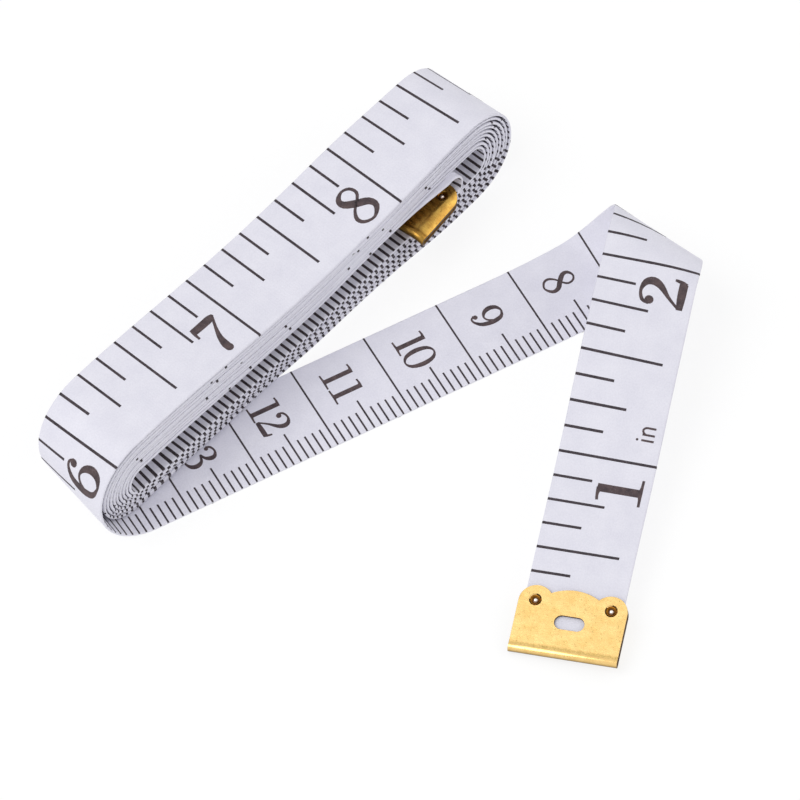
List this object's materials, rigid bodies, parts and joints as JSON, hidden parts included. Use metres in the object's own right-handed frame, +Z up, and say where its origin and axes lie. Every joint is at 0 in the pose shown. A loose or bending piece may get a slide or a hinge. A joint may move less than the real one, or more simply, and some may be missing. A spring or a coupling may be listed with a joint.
{
  "type": "cloth tape measure",
  "caption": "Flexible cloth tape measure wound into a flattened roll, its free end folded back on itself, with a lobed brass clip riveted on each end.",
  "frame": {"origin": "middle of the underside of the flat run of tape that the part rests on", "axes": "+X along the roll, the way the scale counts up on its top; +Z up, away from the surface; +Y away from the free end"},
  "size_m": [0.0749, 0.0698, 0.0138],
  "materials": {
    "coated_cloth": "satin",
    "clip_brass": "polished",
    "rivet_metal": "satin"
  },
  "bodies": {
    "wound_tape": {"tape_wound_run": "coated_cloth", "inner_clip": "clip_brass", "inner_clip_rivet_a": "rivet_metal", "inner_clip_rivet_b": "rivet_metal"},
    "free_end": {"tape_tail": "coated_cloth", "zero_clip": "clip_brass", "zero_clip_rivet_a": "rivet_metal", "zero_clip_rivet_b": "rivet_metal"}
  },
  "joints": [
    {"name": "fold_hinge", "type": "hinge", "parent": "wound_tape", "child": "free_end", "pos_m": [0.03653, -0.01431, 0.00555], "axis": [-0.0767, 0.9971, 0], "range_deg": [0, 170]}
  ]
}
